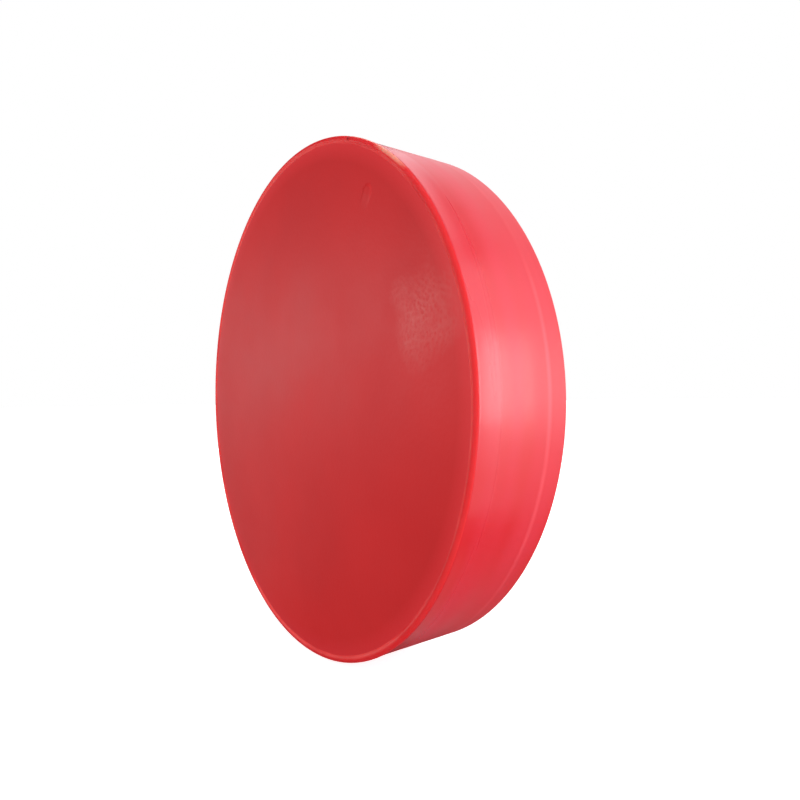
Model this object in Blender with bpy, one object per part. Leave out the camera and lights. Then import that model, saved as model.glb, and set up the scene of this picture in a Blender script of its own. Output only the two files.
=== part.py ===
"""Push-on blind end cap for a 219.1 mm pipe: a polyethylene shell and the foam ring that seals on the pipe's end.

The cap's axis is Y. Its closed face looks along -Y, its mouth opens along +Y, and +Z is up.
The origin is on the axis, in the plane where the pipe's end meets the seal ring.
"""

from math import acos, asin, cos, pi, sin

import bmesh
import bpy
from mathutils import Matrix, Vector

# Driving dimensions, in metres.
PIPE_RADIUS = 0.2191 / 2
RIM_RADIUS = 0.1135  # outside of the bead round the closed face
MOUTH_RADIUS = 0.1123  # outside of the skirt at its open end
DEPTH = 0.0440  # crest of the bead to the end of the skirt
SEAT_DEPTH = 0.0119  # crest of the bead to the pipe's end
WALL = 0.0024
FACE_THICKNESS = 0.0025
RUNNING_GAP = 0.0003  # between pieces that touch

# The bead: a round roll, set into both the face and the skirt.
BEAD_ROLL = 0.00145
BEAD_PROUD = 0.0005
BEAD_STEPS = 8

# Small edges of the shell.
INNER_CORNER = 0.0003
MOUTH_EDGE = 0.0003
LEAD_IN_LENGTH = 0.0030
LEAD_IN_RISE = 0.0008

# The crush ribs, which grip the pipe.
RIB_COUNT = 24
RIB_SQUEEZE = 0.00025
RIB_CREST_WIDTH = 0.0016
RIB_ROOT_WIDTH = 0.0030
RIB_ROOT_IN_WALL = 0.0008
RIB_END_DEPTH = 0.80 * DEPTH
RIB_RAMP = 0.0040

# The seal ring.
RING_WIDTH = 0.0166

SEGMENTS = 120

# Planes across the axis, from front to back.
FRONT_Y = -SEAT_DEPTH
FACE_Y = FRONT_Y + BEAD_PROUD
INSIDE_Y = FACE_Y + FACE_THICKNESS
SEAT_Y = 0.0
RIB_END_Y = FRONT_Y + RIB_END_DEPTH
MOUTH_Y = FRONT_Y + DEPTH

SKIRT_RADIUS = RIM_RADIUS - BEAD_PROUD  # outside of the skirt where it leaves the bead
INSIDE_RADIUS = SKIRT_RADIUS - WALL


def clear_scene():
    for thing in list(bpy.data.objects):
        bpy.data.objects.remove(thing, do_unlink=True)


def plain_material(name, colour, roughness):
    material = bpy.data.materials.new(name)
    material.use_nodes = True
    shader = material.node_tree.nodes["Principled BSDF"]
    shader.inputs["Base Color"].default_value = (*colour, 1.0)
    shader.inputs["Roughness"].default_value = roughness
    shader.inputs["Metallic"].default_value = 0.0
    material.diffuse_color = (*colour, 1.0)
    return material


def add_object(name, bm, material=None):
    bmesh.ops.recalc_face_normals(bm, faces=bm.faces)
    mesh = bpy.data.meshes.new(name)
    bm.to_mesh(mesh)
    bm.free()
    mesh.shade_smooth()
    mesh.set_sharp_from_angle(angle=pi / 6)
    if material is not None:
        mesh.materials.append(material)
    thing = bpy.data.objects.new(name, mesh)
    bpy.context.scene.collection.objects.link(thing)
    return thing


def spin_profile(points, closed):
    """Turns a profile of (radius, y) points about the Y axis. An open profile's two end circles are filled."""
    bm = bmesh.new()
    verts = [bm.verts.new((radius, y, 0.0)) for radius, y in points]
    edges = [bm.edges.new(pair) for pair in zip(verts, verts[1:])]
    if closed:
        edges.append(bm.edges.new((verts[-1], verts[0])))
    bmesh.ops.spin(
        bm,
        geom=verts + edges,
        cent=(0.0, 0.0, 0.0),
        axis=(0.0, 1.0, 0.0),
        angle=2 * pi,
        steps=SEGMENTS,
        use_merge=True,
    )
    if not closed:
        rims = [edge for edge in bm.edges if edge.is_boundary]
        bmesh.ops.holes_fill(bm, edges=rims, sides=0)
    return bm


def bead_points():
    """The bead's roll in section, from the face round to the skirt."""
    centre = Vector((RIM_RADIUS - BEAD_ROLL, FRONT_Y + BEAD_ROLL))
    start = pi - asin(1 - BEAD_PROUD / BEAD_ROLL)
    end = -acos(1 - BEAD_PROUD / BEAD_ROLL)
    angles = [start + (end - start) * step / BEAD_STEPS for step in range(BEAD_STEPS + 1)]
    return [(centre.x + BEAD_ROLL * cos(a), centre.y - BEAD_ROLL * sin(a)) for a in angles]


def shell_profile():
    """From the edge of the closed face, over the bead, along the skirt, round the mouth and back inside."""
    mouth_inside = MOUTH_RADIUS - WALL
    outside = [
        (MOUTH_RADIUS, MOUTH_Y - MOUTH_EDGE),
        (MOUTH_RADIUS - MOUTH_EDGE, MOUTH_Y),
    ]
    inside = [
        (mouth_inside + LEAD_IN_RISE, MOUTH_Y),
        (mouth_inside, MOUTH_Y - LEAD_IN_LENGTH),
        (INSIDE_RADIUS, INSIDE_Y + INNER_CORNER),
        (INSIDE_RADIUS - INNER_CORNER, INSIDE_Y),
    ]
    return bead_points() + outside + inside


def crush_ribs():
    """All the ribs as one hidden object: wedges along the pipe, each with a ramp towards the mouth."""
    crest = PIPE_RADIUS - RIB_SQUEEZE
    root = INSIDE_RADIUS + RIB_ROOT_IN_WALL
    start = SEAT_Y + RUNNING_GAP
    section = [
        (root, start, RIB_ROOT_WIDTH),
        (crest, start, RIB_CREST_WIDTH),
        (crest, RIB_END_Y - RIB_RAMP, RIB_CREST_WIDTH),
        (root, RIB_END_Y + RIB_RAMP, RIB_ROOT_WIDTH),
    ]
    bm = bmesh.new()
    for number in range(RIB_COUNT):
        turn = Matrix.Rotation(2 * pi * (number + 0.5) / RIB_COUNT, 4, "Y")
        sides = []
        for hand in (-0.5, 0.5):
            corners = [turn @ Vector((radius, y, hand * width)) for radius, y, width in section]
            sides.append([bm.verts.new(corner) for corner in corners])
        left, right = sides
        bm.faces.new(left)
        bm.faces.new(reversed(right))
        for this in range(4):
            after = (this + 1) % 4
            bm.faces.new((left[after], left[this], right[this], right[after]))
    ribs = add_object("crush_ribs", bm)
    ribs.hide_render = True
    ribs.display_type = "WIRE"
    return ribs


def cap_shell(material):
    shell = add_object("cap_shell", spin_profile(shell_profile(), closed=False), material)
    union = shell.modifiers.new("crush ribs", "BOOLEAN")
    union.operation = "UNION"
    union.solver = "EXACT"
    union.object = crush_ribs()
    return shell


def seal_ring(material):
    """A flat ring in the corner between face and skirt, held there by the front ends of the crush ribs."""
    outer = INSIDE_RADIUS - 1.5 * RUNNING_GAP
    inner = outer - RING_WIDTH
    front = INSIDE_Y + RUNNING_GAP
    profile = [(outer, front), (outer, SEAT_Y), (inner, SEAT_Y), (inner, front)]
    return add_object("seal_ring", spin_profile(profile, closed=True), material)


def main():
    clear_scene()
    axis = bpy.data.objects.new("cap_axis", None)
    bpy.context.scene.collection.objects.link(axis)
    red_polyethylene = plain_material("red_polyethylene", (0.58, 0.035, 0.04), 0.42)
    pale_foam = plain_material("pale_foam", (0.80, 0.79, 0.76), 0.85)
    for piece in (cap_shell(red_polyethylene), seal_ring(pale_foam)):
        piece.parent = axis


main()
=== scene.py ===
"""Looks of the push-on blind end cap: the red shell, its pale foam ring, the studio and the camera.

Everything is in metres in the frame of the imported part. The cap's axis is Y, its closed face looks
along -Y and its mouth opens along +Y. Depths count from the crest of the bead towards the mouth.
"""

from math import atan2, cos, exp, pi, radians, sin, sqrt, tau

import bmesh
import bpy
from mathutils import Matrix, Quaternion, Vector, noise


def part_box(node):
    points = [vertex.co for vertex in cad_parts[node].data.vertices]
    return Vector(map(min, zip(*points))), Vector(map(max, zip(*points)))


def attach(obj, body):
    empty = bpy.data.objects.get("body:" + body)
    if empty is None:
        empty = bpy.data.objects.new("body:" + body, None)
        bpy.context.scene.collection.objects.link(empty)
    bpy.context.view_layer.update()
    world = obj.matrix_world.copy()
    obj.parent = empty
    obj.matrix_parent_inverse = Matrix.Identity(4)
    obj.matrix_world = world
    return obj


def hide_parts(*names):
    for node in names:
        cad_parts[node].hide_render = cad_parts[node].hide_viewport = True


MM = 0.001

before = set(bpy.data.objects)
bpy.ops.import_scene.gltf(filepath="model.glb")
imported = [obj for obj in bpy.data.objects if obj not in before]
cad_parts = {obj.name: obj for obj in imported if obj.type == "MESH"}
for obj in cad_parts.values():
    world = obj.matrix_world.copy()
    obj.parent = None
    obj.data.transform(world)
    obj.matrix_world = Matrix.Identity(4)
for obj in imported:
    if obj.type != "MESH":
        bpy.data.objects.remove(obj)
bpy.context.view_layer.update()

shell_low, shell_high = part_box("cap_shell")
ring_low, ring_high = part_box("seal_ring")

# Sizes taken from the frame.
RIM_RADIUS = shell_high.x
FRONT_Y = shell_low.y
DEPTH = shell_high.y - shell_low.y
FLOOR_Z = shell_low.z
SEAT_DEPTH = ring_high.y - FRONT_Y
RING_FRONT_DEPTH = ring_low.y - FRONT_Y
RING_RADIUS = ring_high.x

# The moulding's section.
BEAD_ROLL = 1.45 * MM
BEAD_PROUD = 0.5 * MM
FACE_FILLET = 1.6 * MM
SKIRT_FILLET = 80.0 * MM  # a long, gentle fall from the bead to the skirt
SKIRT_RADIUS = RIM_RADIUS - BEAD_PROUD
MOUTH_RADIUS = RIM_RADIUS - 1.2 * MM
FACE_DEPTH = BEAD_PROUD
INSIDE_DEPTH = FACE_DEPTH + 2.5 * MM
WALL = 2.4 * MM
LEAD_IN_LENGTH = 3.0 * MM
LEAD_IN_RISE = 0.8 * MM
MOUTH_ROUND = 0.35 * MM
INNER_FILLET = 0.3 * MM

# How finely the section is cut.
FACE_FILLET_STEPS = 8
ROLL_STEPS = 20
SKIRT_FILLET_STEPS = 10
GLOSSY_STEPS = 14  # steps of the bead next to the skirt that have the skirt's finish
SMALL_ARC_STEPS = 5
CORNER_STEPS = 4
FIRST_RING = 2.0 * MM
FACE_PITCH = 3.0 * MM
PIP_PITCH = 0.35 * MM
PIP_COLUMNS = 12  # on each side of the pip's middle
SKIRT_START = 0.3 * MM
SKIRT_PITCH = 0.7 * MM
WALL_PITCH = 1.5 * MM
INSIDE_RINGS = 22
RIB_COLUMNS = (0.0, 0.5, 0.85, 1.15, 1.7)  # mm from a rib's middle
COLUMNS_BETWEEN_RIBS = 4
NICK_COLUMNS = (-0.9, -0.6, -0.3, 0, 0.3, 0.6, 0.9)  # mm from the nick's middle

# The foam ring.
RING_WIDTH = 16.6 * MM
RING_ROUND = 0.7 * MM
RING_COLUMNS = 480
RING_BACK_PARTS = 16
RING_FRONT_PARTS = 8
RING_UNEVEN = 0.10 * MM
RING_INWARD = 0.6  # moves the unevenness into the ring, as a share of it
RING_NOISE_ROUND = 9.0
RING_NOISE_ACROSS = 160.0  # per metre

# The crush ribs inside.
RIB_COUNT = 24
RIB_CREST_RADIUS = 109.3 * MM
RIB_CREST_HALF = 0.8 * MM
RIB_ROOT_HALF = 1.7 * MM
RIB_START = SEAT_DEPTH + 0.3 * MM
RIB_END = 0.80 * DEPTH
RIB_RAMP = 5.0 * MM
RIB_NOSE = 0.4 * MM

# Marks that the mould and handling leave, and where the painted sheen, glints and glow go.
# Places on the face are (x, z), angles go from +X towards +Z.
STEP_DEPTH = 0.27 * DEPTH
STEP_FALL = 0.007 * MM
STEP_WIDTH = 1.2 * MM
LINE_DEPTH = 0.80 * DEPTH
LINE_RISE = 0.035 * MM
LINE_WIDTH = 1.2 * MM
FACE_WAVE = 0.05 * MM
FACE_WAVE_SCALE = 14.0  # per metre
FACE_WAVE_SLICE = 2.7
SKIRT_WAVE = 0.035 * MM
SKIRT_WAVE_ROUND = 1.3
SKIRT_WAVE_ALONG = 130.0  # per metre
SKIRT_WAVE_START = 6.0 * MM
SKIRT_WAVE_END = 4.0 * MM
NICK_ANGLE = radians(69.6)
NICK_CUT = 0.90 * MM
NICK_WIDTH = 0.50 * MM
NICK_INNER_RADIUS = RIM_RADIUS - 2.2 * MM
NICK_INNER_FADE = 0.8 * MM
NICK_FRONT = 0.8 * MM  # the depth down to which it is cut back in full
NICK_FRONT_FADE = 1.2 * MM
NICK_SIDE_SHARE = 0.4  # of the cut, taken towards the axis
NICK_SIDE = 1.6 * MM
NICK_SIDE_FADE = 1.4 * MM
PIP_PLACE = Vector((0.462, 0.709)) * RIM_RADIUS
PIP_RADIUS = 2.2 * MM
PIP_EDGE = 1.2 * MM
PIP_REACH = PIP_RADIUS + PIP_EDGE
PIP_RISE = 0.30 * MM
# The polished patch is glossier, and its colour carries a painted sheen.
POLISH_AND_SHEEN_PLACE = Vector((0.765, 0.270)) * RIM_RADIUS
POLISH_AND_SHEEN_REACH = 20.0 * MM
# A painted glint on the bead's shoulder, upper right.
SHOULDER_GLINT_ANGLE = radians(53.0)
SHOULDER_GLINT_REACH = 13.0 * MM
# A painted glint along the foot of the bead.
FOOT_GLINT_RADIUS = RIM_RADIUS - 2.7 * MM
# The side towards which the painted glow on the face and bead brightens.
LIT_SIDE = (0.80, 0.0, 0.60)

FACE, BEAD, SKIRT, INSIDE = range(4)  # the shell's material slots


# ---------------------------------------------------------------- sections


def arc(centre, radius, start, end, steps):
    """Points of an arc in the (radius, depth) section, angles from +radius towards the front."""
    turn = (end - start) / steps
    angles = [start + turn * step for step in range(steps + 1)]
    return [(centre[0] + radius * cos(a), centre[1] - radius * sin(a)) for a in angles]


def fillet_offset(fillet):
    """From the roll's centre to a fillet's centre: straight out of the surface, and along it."""
    reach = BEAD_ROLL + fillet
    rise = reach - BEAD_PROUD
    return rise, sqrt(reach**2 - rise**2)


def bead_section():
    """Fillet from the face, the bead's roll, and the fillet into the skirt."""
    centre = (RIM_RADIUS - BEAD_ROLL, BEAD_ROLL)
    face_rise, face_run = fillet_offset(FACE_FILLET)
    skirt_rise, skirt_run = fillet_offset(SKIRT_FILLET)
    leave = atan2(face_rise, -face_run)
    arrive = atan2(-skirt_run, skirt_rise)
    face_centre = (centre[0] - face_run, centre[1] - face_rise)
    skirt_centre = (centre[0] + skirt_rise, centre[1] + skirt_run)
    face_fillet = arc(face_centre, FACE_FILLET, -pi / 2, leave - pi, FACE_FILLET_STEPS)
    roll = arc(centre, BEAD_ROLL, leave, arrive, ROLL_STEPS)
    skirt_fillet = arc(skirt_centre, SKIRT_FILLET, arrive + pi, pi, SKIRT_FILLET_STEPS)
    return face_fillet + roll[1:-1] + skirt_fillet


def bump(distance, width):
    """A smooth bump: 1 at its middle, fading to 0 within about twice the width."""
    return exp(-((distance / width) ** 2))


def soft_step(value):
    """0 below 0, 1 above 1, and a smooth rise between."""
    value = min(max(value, 0.0), 1.0)
    return value * value * (3 - 2 * value)


def skirt_radius(depth):
    """Outside of the skirt: its slight taper, the step behind the ring and the line before the mouth."""
    start = BEAD_ROLL + fillet_offset(SKIRT_FILLET)[1]
    radius = SKIRT_RADIUS + (MOUTH_RADIUS - SKIRT_RADIUS) * (depth - start) / (DEPTH - start)
    radius -= STEP_FALL * soft_step((depth - STEP_DEPTH) / STEP_WIDTH + 0.5)
    radius += LINE_RISE * bump(depth - LINE_DEPTH, LINE_WIDTH)
    return radius


def graded(start, end, coarse, marks=(), fine=0.2 * MM, reach=0.8 * MM):
    """Places from start to end, coarse apart and finer near each mark."""
    places, here = [], start
    while here < end - fine:
        places.append(here)
        near = any(abs(here - mark) < reach for mark in marks)
        here += fine if near else coarse
    return places + [end]


def outer_section():
    """From the centre of the face, over the bead, along the skirt and round the mouth's outer edge."""
    bead = bead_section()
    face_edge = bead[0][0]
    face_radii = graded(FIRST_RING, face_edge, FACE_PITCH, (PIP_PLACE.length,), PIP_PITCH, PIP_REACH)
    face = [(radius, FACE_DEPTH) for radius in face_radii[:-1]]
    last = DEPTH - MOUTH_ROUND
    skirt_depths = graded(bead[-1][1] + SKIRT_START, last, SKIRT_PITCH, (STEP_DEPTH,))
    skirt = [(skirt_radius(depth), depth) for depth in skirt_depths]
    edge = arc((skirt[-1][0] - MOUTH_ROUND, last), MOUTH_ROUND, 0.0, -pi / 2, SMALL_ARC_STEPS)
    return face, bead + skirt + edge[1:]


def inner_wall_radius(depth):
    """Inside of the skirt between the ribs: its taper, then the lead-in at the mouth."""
    along = (depth - INSIDE_DEPTH) / (DEPTH - LEAD_IN_LENGTH - INSIDE_DEPTH)
    front = SKIRT_RADIUS - WALL
    back = MOUTH_RADIUS - WALL
    lead_in = LEAD_IN_RISE * soft_step((depth - (DEPTH - LEAD_IN_LENGTH)) / LEAD_IN_LENGTH)
    return front + (back - front) * min(along, 1.0) + lead_in


def inner_section():
    """From the mouth's inner edge, along the inside wall, round the corner and in to the centre."""
    edge_radius = inner_wall_radius(DEPTH)
    edge_centre = (edge_radius + MOUTH_ROUND, DEPTH - MOUTH_ROUND)
    edge = arc(edge_centre, MOUTH_ROUND, -pi / 2, -pi, SMALL_ARC_STEPS)
    wall_start = INSIDE_DEPTH + INNER_FILLET
    wall_depths = graded(wall_start, DEPTH - 2 * MOUTH_ROUND, WALL_PITCH, (RIB_START,))
    wall = [(inner_wall_radius(depth), depth) for depth in reversed(wall_depths)]
    corner_centre = (wall[-1][0] - INNER_FILLET, wall_start)
    corner = arc(corner_centre, INNER_FILLET, 0.0, pi / 2, CORNER_STEPS)
    shares = [1 - ring / INSIDE_RINGS for ring in range(1, INSIDE_RINGS)]
    face = [(corner[-1][0] * share, INSIDE_DEPTH) for share in shares]
    return edge + wall, corner[1:] + face


# ---------------------------------------------------------------- the shell's mesh


def columns():
    """Angles round the axis: closer together across each rib, the nick in the bead and the pip."""
    pitch = tau / RIB_COUNT
    half = [offset * MM / RIB_CREST_RADIUS for offset in RIB_COLUMNS]
    span = pitch / 2 - half[-1]
    shares = [step / COLUMNS_BETWEEN_RIBS for step in range(1, COLUMNS_BETWEEN_RIBS)]
    half += [half[-1] + span * share for share in shares]
    angles = []
    for rib in range(RIB_COUNT):
        middle = (rib + 0.5) * pitch
        angles += [middle - offset for offset in reversed(half[1:])]
        angles += [middle + offset for offset in half]
        angles.append(middle + pitch / 2)
    nick = [NICK_ANGLE + offset * MM / RIM_RADIUS for offset in NICK_COLUMNS]
    pip_angle = atan2(PIP_PLACE.y, PIP_PLACE.x)
    pip_steps = range(-PIP_COLUMNS, PIP_COLUMNS + 1)
    pip = [pip_angle + step * PIP_PITCH / PIP_PLACE.length for step in pip_steps]
    return sorted(set(round(angle % tau, 7) for angle in angles + nick + pip))


def rib_rise(angle, depth, wall_radius):
    """How far the wall comes in towards the axis at this place, because of the rib nearest to it."""
    pitch = tau / RIB_COUNT
    off_middle = abs((angle % pitch) - pitch / 2) * RIB_CREST_RADIUS
    across = 1 - soft_step((off_middle - RIB_CREST_HALF) / (RIB_ROOT_HALF - RIB_CREST_HALF))
    front = soft_step((depth - RIB_START) / RIB_NOSE)
    back = 1 - soft_step((depth - (RIB_END - RIB_RAMP)) / RIB_RAMP)
    return max(wall_radius - RIB_CREST_RADIUS, 0.0) * across * front * back


def face_wave(x, z):
    """Slow unevenness of the moulded face, well under a tenth of a millimetre."""
    place = Vector((x * FACE_WAVE_SCALE, FACE_WAVE_SLICE, z * FACE_WAVE_SCALE))
    return FACE_WAVE * noise.noise(place, noise_basis="PERLIN_NEW")


def skirt_wave(angle, depth):
    """Soft sink marks round the skirt, a few hundredths of a millimetre deep."""
    x, z = cos(angle) * SKIRT_WAVE_ROUND, sin(angle) * SKIRT_WAVE_ROUND
    mark = noise.noise(Vector((x, depth * SKIRT_WAVE_ALONG, z)), noise_basis="PERLIN_NEW")
    front = soft_step((depth - SKIRT_WAVE_START) / SKIRT_WAVE_START)
    fade = front * soft_step((DEPTH - depth) / SKIRT_WAVE_END)
    return SKIRT_WAVE * fade * mark


def pip_rise(x, z):
    """A low round pip with soft sides, left by an ejector pin in the mould."""
    distance = (Vector((x, z)) - PIP_PLACE).length
    return PIP_RISE * (1 - soft_step((distance - PIP_RADIUS) / PIP_EDGE))


def nick_shift(angle, radius, depth):
    """How far the nick pushes this place of the bead back along the axis, and in towards it."""
    cut = NICK_CUT * bump((angle - NICK_ANGLE) * RIM_RADIUS, NICK_WIDTH)
    outward = soft_step((radius - NICK_INNER_RADIUS) / NICK_INNER_FADE)
    front = 1 - soft_step((depth - NICK_FRONT) / NICK_FRONT_FADE)
    side = 1 - soft_step((depth - NICK_SIDE) / NICK_SIDE_FADE)
    return cut * outward * front, NICK_SIDE_SHARE * cut * outward * side


def shell_point(angle, radius, depth, part):
    """A point of the section turned to its angle, moved by the ribs, the nick, the pip and the waves."""
    across = radius
    back = depth
    if part == "inside":
        across -= rib_rise(angle, depth, radius)
    if part == "bead":
        push_back, push_in = nick_shift(angle, radius, depth)
        back += push_back
        across -= push_in
    if part in ("bead", "skirt"):
        across += skirt_wave(angle, depth)
    x = across * cos(angle)
    z = across * sin(angle)
    if part == "face":
        back += face_wave(x, z) - pip_rise(x, z)
    return Vector((x, FRONT_Y + back, z))


def shell_rows():
    """Every circle of the shell in order, as (radius, depth, part, material of the band that follows)."""
    face, outside = outer_section()
    bead_count = len(bead_section())
    dull_count = bead_count - GLOSSY_STEPS
    wall, inside_face = inner_section()
    rows = [(radius, depth, "face", FACE) for radius, depth in face]
    for number, (radius, depth) in enumerate(outside):
        part = "bead" if number < bead_count else "skirt"
        rows.append((radius, depth, part, BEAD if number < dull_count else SKIRT))
    rows += [(radius, depth, "inside", INSIDE) for radius, depth in wall]
    rows += [(radius, depth, "inner face", INSIDE) for radius, depth in inside_face]
    return rows


def shell_mesh(materials):
    """The shell: its circles joined by quads, and closed by a fan at each pole."""
    angles = columns()
    rows = shell_rows()
    bm = bmesh.new()
    circles = []
    for radius, depth, part, _ in rows:
        circles.append([bm.verts.new(shell_point(a, radius, depth, part)) for a in angles])
    count = len(angles)
    for this, after, row in zip(circles, circles[1:], rows):
        for here in range(count):
            there = (here + 1) % count
            quad = bm.faces.new((this[here], this[there], after[there], after[here]))
            quad.material_index = row[3]
    for circle, depth, slot in ((circles[0], FACE_DEPTH, FACE), (circles[-1], INSIDE_DEPTH, INSIDE)):
        pole = bm.verts.new((0.0, FRONT_Y + depth, 0.0))
        for here in range(count):
            there = (here + 1) % count
            triangle = bm.faces.new((pole, circle[there], circle[here]))
            triangle.material_index = slot
    bmesh.ops.recalc_face_normals(bm, faces=bm.faces)
    return finish_mesh("shell", bm, materials)


def add_object(name, data):
    """An object that holds this mesh, camera or lamp, in the scene."""
    thing = bpy.data.objects.new(name, data)
    bpy.context.scene.collection.objects.link(thing)
    return thing


def finish_mesh(name, bm, materials):
    """A smooth-shaded object made from the bmesh, with its materials in the order of their slots."""
    mesh = bpy.data.meshes.new(name)
    bm.to_mesh(mesh)
    bm.free()
    mesh.shade_smooth()
    for material in materials:
        mesh.materials.append(material)
    return add_object(name, mesh)


# ---------------------------------------------------------------- the seal ring's mesh


def seal_section():
    """The ring's rounded section: from its inner front corner to the back, and out and forward again."""
    inner = RING_RADIUS - RING_WIDTH
    front, back = RING_FRONT_DEPTH, SEAT_DEPTH
    corners = [
        (inner + RING_ROUND, front + RING_ROUND, pi / 2),
        (inner + RING_ROUND, back - RING_ROUND, pi),
        (RING_RADIUS - RING_ROUND, back - RING_ROUND, -pi / 2),
        (RING_RADIUS - RING_ROUND, front + RING_ROUND, 0.0),
    ]
    points = []
    for number, (radius, depth, start) in enumerate(corners):
        points += arc((radius, depth), RING_ROUND, start, start + pi / 2, CORNER_STEPS)
        after = corners[(number + 1) % 4]
        if number == 1:
            points += spread((radius, back), (after[0], back), RING_BACK_PARTS)
        if number == 3:
            points += spread((radius, front), (after[0], front), RING_FRONT_PARTS)
    return points


def spread(start, end, parts):
    """Points strictly between start and end."""
    shares = [step / parts for step in range(1, parts)]
    return [tuple(a + (b - a) * share for a, b in zip(start, end)) for share in shares]


def seal_mesh(materials):
    """The foam ring: its section turned round the axis, front and back a little uneven as cut foam is."""
    section = seal_section()
    bm = bmesh.new()
    loops = []
    for turn in range(RING_COLUMNS):
        angle = tau * turn / RING_COLUMNS
        loop = []
        for radius, depth in section:
            across = (radius + depth) * RING_NOISE_ACROSS
            place = Vector((cos(angle) * RING_NOISE_ROUND, sin(angle) * RING_NOISE_ROUND, across))
            give = RING_UNEVEN * (noise.noise(place) - RING_INWARD)
            rear = depth > (RING_FRONT_DEPTH + SEAT_DEPTH) / 2
            back = depth + give if rear else depth - give
            loop.append(bm.verts.new((radius * cos(angle), FRONT_Y + back, radius * sin(angle))))
        loops.append(loop)
    count = len(section)
    for turn in range(RING_COLUMNS):
        this, after = loops[turn], loops[(turn + 1) % RING_COLUMNS]
        for here in range(count):
            there = (here + 1) % count
            bm.faces.new((this[here], this[there], after[there], after[here]))
    bmesh.ops.recalc_face_normals(bm, faces=bm.faces)
    return finish_mesh("seal_foam", bm, materials)


# ---------------------------------------------------------------- materials

RANGE_ENDS = ("From Min", "From Max", "To Min", "To Max")  # sockets of a map range node


class Nodes:
    """A material's node tree, with one short call for each node."""

    def __init__(self, name):
        self.material = bpy.data.materials.new(name)
        self.material.use_nodes = True
        self.tree = self.material.node_tree
        self.shader = self.tree.nodes["Principled BSDF"]
        self.place = self.add("ShaderNodeTexCoord").outputs["Object"]

    def add(self, kind, **settings):
        node = self.tree.nodes.new(kind)
        for key, value in settings.items():
            setattr(node, key, value)
        return node

    def feed(self, socket, source):
        """Links another node's output to the socket, or sets a plain value on it."""
        if isinstance(source, bpy.types.NodeSocket):
            self.tree.links.new(source, socket)
        else:
            socket.default_value = source

    def stretched(self, scale):
        """The place, scaled by a different factor along each axis."""
        node = self.add("ShaderNodeMapping")
        self.feed(node.inputs["Vector"], self.place)
        node.inputs["Scale"].default_value = scale
        return node.outputs["Vector"]

    def noise(self, scale, detail=3.0, rough=0.5, place=None):
        node = self.add("ShaderNodeTexNoise")
        self.feed(node.inputs["Vector"], place or self.place)
        node.inputs["Scale"].default_value = scale
        node.inputs["Detail"].default_value = detail
        node.inputs["Roughness"].default_value = rough
        return node.outputs["Fac"]

    def cells(self, scale, feature="SMOOTH_F1"):
        node = self.add("ShaderNodeTexVoronoi", feature=feature)
        self.feed(node.inputs["Vector"], self.place)
        node.inputs["Scale"].default_value = scale
        return node.outputs["Distance"]

    def off_axis(self):
        """Distance from the cap's axis."""
        node = self.add("ShaderNodeVectorMath", operation="LENGTH")
        self.feed(node.inputs[0], self.stretched((1.0, 0.0, 1.0)))
        return node.outputs["Value"]

    def along_axis(self):
        """Place along the cap's axis."""
        node = self.add("ShaderNodeSeparateXYZ")
        self.feed(node.inputs["Vector"], self.place)
        return node.outputs["Y"]

    def lit_side(self):
        """0 low on the left, rising to 1 at the upper right, where light comes through the wall."""
        node = self.add("ShaderNodeVectorMath", operation="DOT_PRODUCT")
        self.feed(node.inputs[0], self.place)
        node.inputs[1].default_value = LIT_SIDE
        return self.span(node.outputs["Value"], -0.6 * RIM_RADIUS, 0.8 * RIM_RADIUS, 0.0, 1.0)

    def patch(self, place, reach, ragged):
        """A soft-edged round patch: 1 at the place, 0 from reach outwards, with an uneven edge."""
        node = self.add("ShaderNodeVectorMath", operation="DISTANCE")
        self.feed(node.inputs[0], self.stretched((1.0, 0.0, 1.0)))
        node.inputs[1].default_value = (place.x, 0.0, place.y)
        uneven = self.span(self.noise(70.0, detail=4.0), 0.3, 0.7, -ragged, ragged)
        off = self.math("ADD", node.outputs["Value"], uneven)
        return self.span(off, 0.0, reach, 1.0, 0.0)

    def span(self, value, low, high, to_low, to_high):
        """Maps low to high onto to_low to to_high, and holds the end values outside."""
        node = self.add("ShaderNodeMapRange")
        self.feed(node.inputs["Value"], value)
        for key, number in zip(RANGE_ENDS, (low, high, to_low, to_high)):
            node.inputs[key].default_value = number
        return node.outputs["Result"]

    def math(self, operation, first, second=0.0):
        node = self.add("ShaderNodeMath", operation=operation)
        self.feed(node.inputs[0], first)
        self.feed(node.inputs[1], second)
        return node.outputs[0]

    def blend(self, share, first, second):
        node = self.add("ShaderNodeMix", data_type="RGBA")
        self.feed(node.inputs["Factor"], share)
        self.feed(node.inputs["A"], first)
        self.feed(node.inputs["B"], second)
        return node.outputs["Result"]

    def bump(self, height, strength, distance):
        node = self.add("ShaderNodeBump")
        self.feed(node.inputs["Height"], height)
        self.feed(node.inputs["Strength"], strength)
        node.inputs["Distance"].default_value = distance
        return node.outputs["Normal"]

    def set(self, **sockets):
        """Feeds the shader's own sockets, named with _ for each space."""
        for name, source in sockets.items():
            self.feed(self.shader.inputs[name.replace("_", " ")], source)
        return self.material


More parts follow.
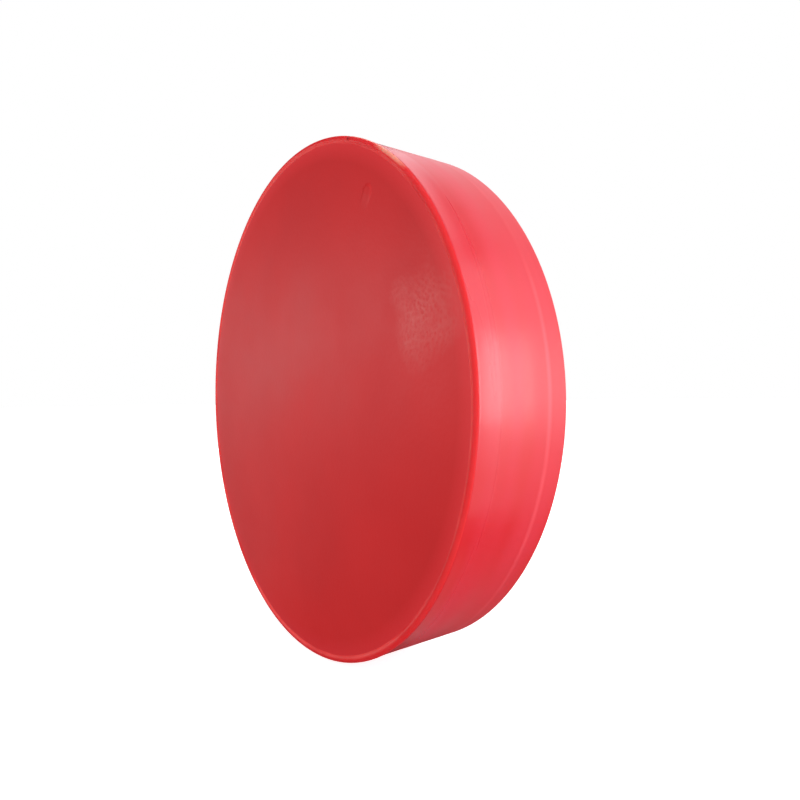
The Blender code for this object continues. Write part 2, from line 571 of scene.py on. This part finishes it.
# The reds of the one plastic: RED_DULL and RED_DEEP on the face, RED_HOT and RED_GLOW as painted glow
# where light comes through its edges, RED_PAINTED_SHEEN as painted sheen in the polished patch, RED_PALE
# on the skirt, RED_RIDGE_HIGHLIGHT as painted highlight on its ridge, RED_FOOT_GLINT as painted glint at
# the bead's foot and
# RED_NICK_SHADE as painted shade in its nick.
RED = (0.71, 0.018, 0.025, 1.0)
RED_DEEP = (0.715, 0.014, 0.016, 1.0)
RED_DULL = (0.650, 0.012, 0.014, 1.0)
RED_PAINTED_SHEEN = (0.72, 0.062, 0.054, 1.0)
RED_PALE = (0.76, 0.030, 0.053, 1.0)
RED_GLOW = (0.79, 0.022, 0.028, 1.0)
RED_RIDGE_HIGHLIGHT = (0.82, 0.058, 0.078, 1.0)
RED_FOOT_GLINT = (0.98, 0.070, 0.066, 1.0)
RED_HOT = (0.84, 0.026, 0.032, 1.0)
RED_NICK_SHADE = (0.22, 0.010, 0.012, 1.0)
PAINTED_GLINT_CREAM = (0.95, 0.300, 0.220, 1.0)
GLOW_RADIUS = (1.0, 0.12, 0.12)
PLASTIC_IOR = 1.51
FOAM_SHADE = (0.70, 0.68, 0.63, 1.0)
FOAM_LIGHT = (0.84, 0.83, 0.80, 1.0)
FOAM_PORE_SHADE = (0.48, 0.45, 0.41, 1.0)
FLOOR_SHADE = (0.86, 0.86, 0.86, 1.0)
FLOOR_LIGHT = (0.90, 0.90, 0.90, 1.0)
FLOOR_GLOW = 0.80


def translucent(nodes, weight, scale):
    """Lets light through the red plastic: mostly red light, as far as the scale."""
    nodes.set(Subsurface_Weight=weight, Subsurface_Scale=scale, Subsurface_Radius=GLOW_RADIUS)
    nodes.set(IOR=PLASTIC_IOR)


def face_material():
    """The closed face: satin, finely pebbled, glossier in one worn patch with a painted sheen, and a
    painted glow at its edge.
    """
    nodes = Nodes("red_polyethylene_face")
    cloud = nodes.noise(16.0, detail=3.0)
    patch = nodes.patch(POLISH_AND_SHEEN_PLACE, POLISH_AND_SHEEN_REACH, 6.0 * MM)
    plain = nodes.blend(nodes.span(cloud, 0.35, 0.68, 0.0, 1.0), RED_DULL, RED_DEEP)
    # Painted glow: towards the rim the red brightens, most on the upper right, as if light came through
    # the wall.
    edge = nodes.span(nodes.off_axis(), RIM_RADIUS - 10.0 * MM, RIM_RADIUS - 2.5 * MM, 0.0, 1.0)
    lit = nodes.blend(edge, plain, nodes.blend(nodes.lit_side(), RED, RED_HOT))
    pebble = nodes.cells(640.0)
    # Painted sheen: the polished patch is lightened towards RED_PAINTED_SHEEN, in specks set by the
    # pebbles.
    sheen_speck = nodes.span(pebble, 0.25, 0.75, 0.20, 1.0)
    colour = nodes.blend(nodes.math("MULTIPLY", patch, sheen_speck), lit, RED_PAINTED_SHEEN)
    grain = nodes.noise(2600.0, detail=2.0)
    height = nodes.math("ADD", pebble, nodes.math("MULTIPLY", grain, 0.4))
    depth = nodes.span(patch, 0.0, 1.0, 0.10, 0.60)
    normal = nodes.bump(height, depth, 0.00030)
    smudge = nodes.noise(26.0, detail=4.0, rough=0.55)
    dull = nodes.span(smudge, 0.32, 0.68, 0.41, 0.48)
    roughness = nodes.math("SUBTRACT", dull, nodes.math("MULTIPLY", patch, 0.15))
    translucent(nodes, 0.10, 1.2 * MM)
    return nodes.set(Base_Color=colour, Roughness=roughness, Normal=normal, Specular_IOR_Level=0.40)


def painted_line_mask(nodes, off, half_width, softness, scale):
    """The mask of a thin painted highlight that comes and goes: 1 on it, 0 off it, from the distance to
    its middle.
    """
    near = nodes.span(nodes.math("ABSOLUTE", off), half_width, half_width + softness, 1.0, 0.0)
    return nodes.math("MULTIPLY", near, nodes.span(nodes.noise(scale), 0.38, 0.58, 0.15, 1.0))


def near_rim(angle, inwards):
    """The place, as (x, z), that is this far in from the rim at this angle."""
    return Vector((cos(angle), sin(angle))) * (RIM_RADIUS - inwards)


def bead_material():
    """The bead: a dull red with a painted glow on the lit side, a painted glint along its foot and on its
    shoulder, and painted shade in its nick.
    """
    nodes = Nodes("red_polyethylene_bead")
    cloud = nodes.noise(60.0, detail=3.0)
    plain = nodes.blend(nodes.span(cloud, 0.3, 0.7, 0.0, 1.0), RED_DEEP, RED)
    # Painted glow: the bead's red brightens towards the upper right, as if light came through the wall.
    red = nodes.blend(nodes.lit_side(), plain, RED_GLOW)
    # Painted glint: a broken pale line along the bead's foot.
    off_foot_glint = nodes.math("SUBTRACT", nodes.off_axis(), FOOT_GLINT_RADIUS)
    line = painted_line_mask(nodes, off_foot_glint, 0.45 * MM, 1.0 * MM, 30.0)
    with_foot_glint = nodes.blend(line, red, RED_FOOT_GLINT)
    # Painted glint: a cream stretch on the bead's outer shoulder at the upper right.
    shoulder = nodes.span(nodes.off_axis(), RIM_RADIUS - 1.5 * MM, RIM_RADIUS - 0.7 * MM, 0.0, 1.0)
    stretch = nodes.patch(near_rim(SHOULDER_GLINT_ANGLE, 0.0), SHOULDER_GLINT_REACH, 1.0 * MM)
    shoulder_glint = nodes.math("MULTIPLY", shoulder, nodes.span(stretch, 0.0, 0.6, 0.0, 1.0))
    with_shoulder_glint = nodes.blend(shoulder_glint, with_foot_glint, PAINTED_GLINT_CREAM)
    # Painted shade: the nick's hollow is darkened.
    shadow = nodes.patch(near_rim(NICK_ANGLE, 1.0 * MM), 1.8 * MM, 0.0)
    nick = nodes.span(shadow, 0.35, 0.75, 0.0, 0.8)
    colour = nodes.blend(nick, with_shoulder_glint, RED_NICK_SHADE)
    grain = nodes.noise(1400.0, detail=3.0)
    normal = nodes.bump(grain, 0.15, 0.0001)
    roughness = nodes.span(cloud, 0.3, 0.7, 0.40, 0.50)
    translucent(nodes, 0.80, 3.0 * MM)
    return nodes.set(Base_Color=colour, Roughness=roughness, Normal=normal, Specular_IOR_Level=0.25)


def skirt_material():
    """The skirt: softly streaked, with a painted highlight on the low ridge near the mouth, and duller
    from front to rear.
    """
    nodes = Nodes("red_polyethylene_skirt")
    streak = nodes.noise(1.0, detail=0.0, place=nodes.stretched((7.0, 120.0, 7.0)))
    cloud = nodes.noise(22.0, detail=2.0)
    tone = nodes.math("ADD", nodes.math("MULTIPLY", streak, 0.5), nodes.math("MULTIPLY", cloud, 0.5))
    plain = nodes.blend(nodes.span(tone, 0.32, 0.68, 0.0, 1.0), RED, RED_PALE)
    depth = nodes.math("SUBTRACT", nodes.along_axis(), FRONT_Y)
    # Painted highlight: a broken pale line along the low ridge before the mouth.
    line = painted_line_mask(nodes, nodes.math("SUBTRACT", depth, LINE_DEPTH), 0.2 * MM, 1.3 * MM, 14.0)
    colour = nodes.blend(line, plain, RED_RIDGE_HIGHLIGHT)
    front = nodes.span(depth, STEP_DEPTH - 1.2 * MM, STEP_DEPTH + 1.2 * MM, 0.06, 0.0)
    rear = nodes.span(depth, 0.45 * DEPTH, 0.75 * DEPTH, 0.0, 0.09)
    plain_rough = nodes.math("ADD", nodes.span(streak, 0.1, 0.9, 0.26, 0.39), rear)
    roughness = nodes.math("SUBTRACT", plain_rough, front)
    normal = nodes.bump(cloud, 0.10, 0.00020)
    translucent(nodes, 0.18, 2.0 * MM)
    return nodes.set(Base_Color=colour, Roughness=roughness, Normal=normal, Specular_IOR_Level=0.5)


def inside_material():
    """The inside: duller, with faint draw marks along the axis, left as the mould's core came out."""
    nodes = Nodes("red_polyethylene_inside")
    draw = nodes.noise(1.0, detail=4.0, place=nodes.stretched((420.0, 14.0, 420.0)))
    cloud = nodes.noise(26.0, detail=4.0)
    colour = nodes.blend(nodes.span(cloud, 0.3, 0.7, 0.0, 1.0), RED_DEEP, RED)
    roughness = nodes.span(draw, 0.3, 0.7, 0.40, 0.52)
    normal = nodes.bump(draw, 0.2, 0.0001)
    translucent(nodes, 0.15, 1.6 * MM)
    return nodes.set(Base_Color=colour, Roughness=roughness, Normal=normal, Specular_IOR_Level=0.45)


def foam_material():
    """Closed-cell polyethylene foam: pale, dull and finely pored, with painted shade in the pores."""
    nodes = Nodes("pale_foam")
    pores = nodes.cells(900.0, feature="F1")
    coarse = nodes.cells(330.0, feature="F1")
    cloud = nodes.noise(70.0, detail=4.0)
    skin = nodes.blend(cloud, FOAM_SHADE, FOAM_LIGHT)
    pits = nodes.span(pores, 0.0, 0.28, 1.0, 0.0)
    # Painted shade: the pits of the pores are darkened.
    colour = nodes.blend(nodes.math("MULTIPLY", pits, 0.55), skin, FOAM_PORE_SHADE)
    height = nodes.math("SUBTRACT", nodes.math("MULTIPLY", coarse, 0.5), pits)
    normal = nodes.bump(height, 0.5, 0.0002)
    roughness = nodes.span(cloud, 0.2, 0.8, 0.78, 0.92)
    return nodes.set(Base_Color=colour, Roughness=roughness, Normal=normal, Specular_IOR_Level=0.3)


def floor_material():
    """A pale floor lit a little from within, like the base of a light tent."""
    nodes = Nodes("pale_floor")
    cloud = nodes.noise(3.0, detail=2.0)
    colour = nodes.blend(cloud, FLOOR_SHADE, FLOOR_LIGHT)
    nodes.set(Emission_Color=(1.0, 1.0, 1.0, 1.0), Emission_Strength=FLOOR_GLOW)
    return nodes.set(Base_Color=colour, Roughness=0.9, Specular_IOR_Level=0.1)


# ---------------------------------------------------------------- studio

WHITE = (1.0, 1.0, 1.0)
COOL = (0.93, 0.94, 1.0)
WARM = (1.0, 0.86, 0.70)
BRIGHT_SIDE = (0.70, -0.62, 0.12)
SHADE_FROM, SHADE_TO = -0.35, 0.65  # cosines to the bright side between which the surround brightens
FLOOR_RADIUS = 9.0

# The camera: its place is counted from the middle of the closed face, in radii of the rim.
LENS = 29.3
CAMERA_PLACE = (2.318, -1.219, 0.020)
CAMERA_LOOK = (-0.8084, 0.5886, -0.0090)
CAMERA_ROLL = radians(-0.71)


def lay_floor():
    """A wide pale floor under the cap. It is seen, but doesn't light the cap or show in its gloss."""
    bm = bmesh.new()
    bmesh.ops.create_circle(bm, cap_ends=True, radius=FLOOR_RADIUS, segments=96)
    bmesh.ops.translate(bm, verts=bm.verts, vec=(0.0, 0.0, FLOOR_Z))
    floor = finish_mesh("floor", bm, [floor_material()])
    floor.visible_diffuse = False
    floor.visible_glossy = False
    floor.visible_shadow = False


def pale_world(seen, dark, bright):
    """A plain surround: the camera sees it white, and it lights the cap most from the right and front."""
    world = bpy.data.worlds.new("studio")
    world.use_nodes = True
    tree = world.node_tree
    tree.nodes.clear()
    add = tree.nodes.new
    output = add("ShaderNodeOutputWorld")
    mix = add("ShaderNodeMixShader")
    fill, backdrop = add("ShaderNodeBackground"), add("ShaderNodeBackground")
    for background in (fill, backdrop):
        background.inputs["Color"].default_value = (1.0, 1.0, 1.0, 1.0)
    backdrop.inputs["Strength"].default_value = seen
    facing = add("ShaderNodeVectorMath")
    facing.operation = "DOT_PRODUCT"
    facing.inputs[1].default_value = Vector(BRIGHT_SIDE).normalized()
    ramp = add("ShaderNodeMapRange")
    ramp.interpolation_type = "SMOOTHSTEP"
    for key, number in zip(RANGE_ENDS, (SHADE_FROM, SHADE_TO, dark, bright)):
        ramp.inputs[key].default_value = number
    tree.links.new(add("ShaderNodeTexCoord").outputs["Generated"], facing.inputs[0])
    tree.links.new(facing.outputs["Value"], ramp.inputs["Value"])
    tree.links.new(ramp.outputs["Result"], fill.inputs["Strength"])
    tree.links.new(add("ShaderNodeLightPath").outputs["Is Camera Ray"], mix.inputs["Fac"])
    tree.links.new(fill.outputs[0], mix.inputs[1])
    tree.links.new(backdrop.outputs[0], mix.inputs[2])
    tree.links.new(mix.outputs[0], output.inputs["Surface"])
    bpy.context.scene.world = world


def place_camera():
    """A phone's view from near the cap, level with its axis and well round to its right."""
    camera = bpy.data.cameras.new("camera")
    camera.sensor_width = 36.0
    camera.lens = LENS
    camera.clip_start = 0.01
    camera.clip_end = 50.0
    thing = add_object("camera", camera)
    thing.location = Vector((0.0, FRONT_Y, 0.0)) + Vector(CAMERA_PLACE) * RIM_RADIUS
    roll = Quaternion((0.0, 0.0, 1.0), CAMERA_ROLL)
    thing.rotation_mode = "QUATERNION"
    thing.rotation_quaternion = Vector(CAMERA_LOOK).to_track_quat("-Z", "Y") @ roll
    bpy.context.scene.camera = thing


def panel(name, azimuth, elevation, distance, size, radiance, colour=WHITE):
    """A soft rectangle of light that faces the cap from a direction in degrees, with this radiance."""
    turn, lift = radians(azimuth), radians(elevation)
    place = Vector((cos(turn) * cos(lift), sin(turn) * cos(lift), sin(lift))) * distance
    lamp = bpy.data.lights.new(name, "AREA")
    lamp.shape = "RECTANGLE"
    lamp.size, lamp.size_y = size
    lamp.energy = radiance * pi * size[0] * size[1]
    lamp.color = colour
    thing = add_object(name, lamp)
    thing.location = place
    thing.rotation_mode = "QUATERNION"
    thing.rotation_quaternion = (Vector() - place).to_track_quat("-Z", "Y")


def light_studio():
    """The surround and the panels, each named after what it is there to light or to show in the gloss."""
    pale_world(seen=1.0, dark=0.06, bright=0.97)
    panel("key", 38, 6.0, 0.9, (0.38, 0.42), 6.0, COOL)
    panel("key_fade", 40, -14, 1.0, (0.44, 0.25), 1.7, COOL)
    panel("key_low", 46, -28, 1.0, (0.50, 0.24), 0.9, COOL)
    panel("key_top", 50, 30, 1.0, (0.60, 0.40), 1.5, COOL)
    panel("side", 8, 0, 1.0, (0.50, 0.40), 1.6)
    panel("top", 20, 84, 1.0, (0.70, 0.70), 0.25)
    panel("back_top", 108, 41, 1.0, (0.90, 0.36), 1.45, COOL)
    panel("back_low", 100, -44, 1.0, (0.80, 0.40), 0.17, COOL)
    panel("rim_glint", 146, 60, 1.0, (0.26, 0.36), 5.0, WARM)
    panel("inside_fill", 92, 2, 1.1, (0.50, 0.40), 3.2)
    panel("patch_sheen", 222, 9, 1.0, (0.20, 0.18), 4.6)
    panel("face_sheen", 208, 5, 1.0, (0.26, 0.18), 2.2)
    panel("far_side", 170, 0, 1.2, (0.50, 0.60), 2.4)
    panel("left_sheen", 192, -11, 1.0, (0.34, 0.42), 0.55)


# ---------------------------------------------------------------- the scene

place_camera()
bpy.context.scene.view_settings.view_transform = "Standard"

shell = shell_mesh([face_material(), bead_material(), skirt_material(), inside_material()])
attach(shell, "root")
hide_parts("cap_shell")

seal = seal_mesh([foam_material()])
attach(seal, "root")
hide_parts("seal_ring")

lay_floor()
light_studio()
